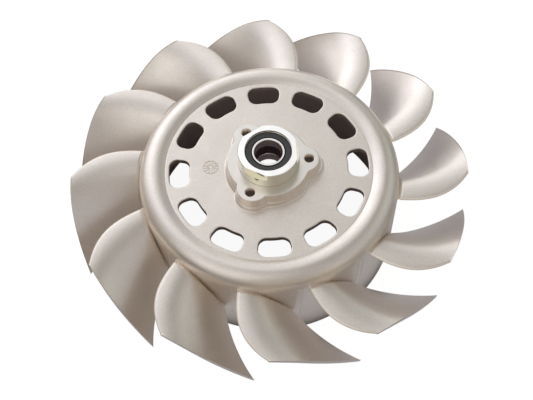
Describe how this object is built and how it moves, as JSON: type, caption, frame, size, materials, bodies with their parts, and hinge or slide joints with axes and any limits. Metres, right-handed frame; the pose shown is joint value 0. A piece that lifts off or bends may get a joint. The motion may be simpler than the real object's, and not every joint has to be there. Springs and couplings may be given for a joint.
{
  "type": "axial fan impeller",
  "caption": "Cast axial fan wheel: swept blades around a deep drum, slotted web, lugged boss and a steel carrier with sealed ball bearings.",
  "frame": {"origin": "on the fan axis, in the plane of the drum's rear rim that the part stands on", "axes": "+Z along the fan axis, from the drum's open rear towards the bearing carrier at the front; +X through one of the three boss lugs"},
  "size_m": [0.245, 0.245, 0.0836],
  "materials": {
    "cast_aluminium": "satin, as cast",
    "zinc_plated_steel": "bright zinc plating with a faint yellow and green sheen",
    "bearing_steel": "ground",
    "ball_steel": "polished",
    "seal_rubber": "matte",
    "cage_nylon": "matte",
    "spring_steel": "dark phosphated"
  },
  "bodies": {
    "impeller": {"impeller_casting": "cast_aluminium", "bearing_carrier": "zinc_plated_steel", "outer_spacer": "bearing_steel", "circlip": "spring_steel", "front_outer_race": "bearing_steel", "rear_outer_race": "bearing_steel", "front_upper_seal": "seal_rubber", "front_lower_seal": "seal_rubber", "rear_upper_seal": "seal_rubber", "rear_lower_seal": "seal_rubber"},
    "shaft_sleeve": {"front_inner_race": "bearing_steel", "rear_inner_race": "bearing_steel", "inner_spacer": "bearing_steel"},
    "front_ball_row": {"front_balls": "ball_steel", "front_cage": "cage_nylon"},
    "rear_ball_row": {"rear_balls": "ball_steel", "rear_cage": "cage_nylon"}
  },
  "joints": [
    {"name": "shaft_spin", "type": "hinge", "parent": "impeller", "child": "shaft_sleeve", "pos_m": [0, 0, 0.07115], "axis": [0, 0, 1], "continuous": true},
    {"name": "front_balls_roll", "type": "hinge", "parent": "impeller", "child": "front_ball_row", "pos_m": [0, 0, 0.0786], "axis": [0, 0, 1], "continuous": true},
    {"name": "rear_balls_roll", "type": "hinge", "parent": "impeller", "child": "rear_ball_row", "pos_m": [0, 0, 0.0637], "axis": [0, 0, 1], "continuous": true}
  ],
  "couplings": [
    {"joint": "front_balls_roll", "follows": "shaft_spin", "ratio": 0.4156},
    {"joint": "rear_balls_roll", "follows": "shaft_spin", "ratio": 0.4156}
  ]
}
